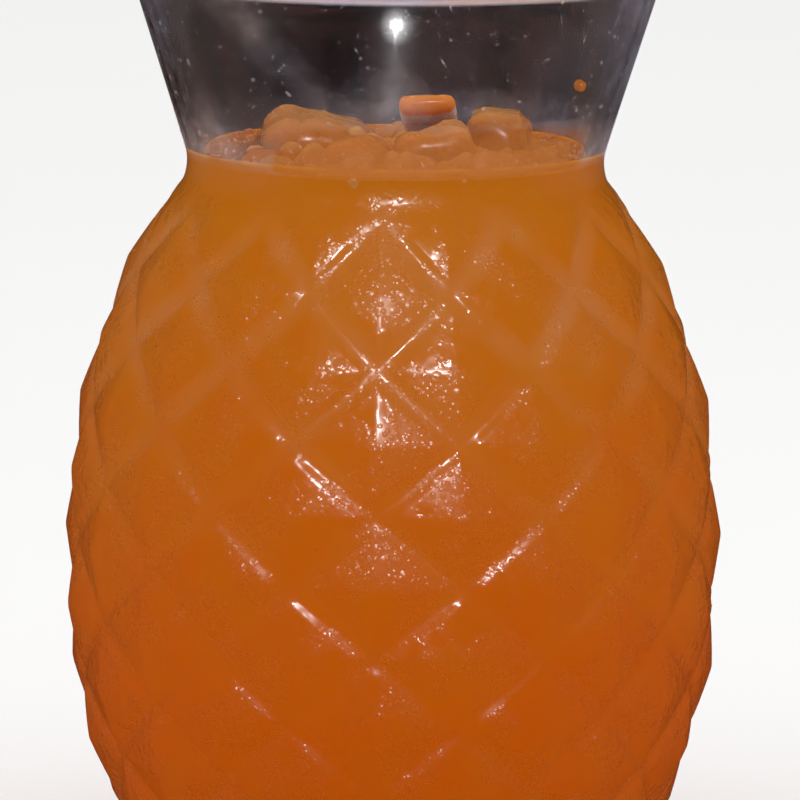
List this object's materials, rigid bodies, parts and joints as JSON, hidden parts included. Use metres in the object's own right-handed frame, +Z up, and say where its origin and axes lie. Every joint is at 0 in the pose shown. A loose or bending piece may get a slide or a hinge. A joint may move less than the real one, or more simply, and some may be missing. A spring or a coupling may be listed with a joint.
{
  "type": "orange passion fruit fizz in a pineapple-shaped glass",
  "caption": "Pineapple-shaped tumbler of clear pressed glass with diamond relief, filled to just above its neck with a cloudy orange fizz, lumps of ice breaking the surface; for a table or bar.",
  "frame": {"origin": "centre of the foot, on the surface that the glass stands on", "axes": "+Z up along the glass's axis, -Y towards the viewer who faces the front"},
  "size_m": [0.0938, 0.0938, 0.133],
  "materials": {
    "clear_glass": "clear pressed glass, glossy, with fine droplets outside",
    "orange_drink": "cloudy orange fizz, paler near the top, with small bubbles",
    "ice": "wet melting ice, tinted by the drink"
  },
  "bodies": {
    "root": {"glass": "clear_glass", "drink": "orange_drink", "ice_left": "ice", "ice_front": "ice", "ice_middle": "ice", "ice_right": "ice", "ice_sliver": "ice"}
  },
  "joints": []
}
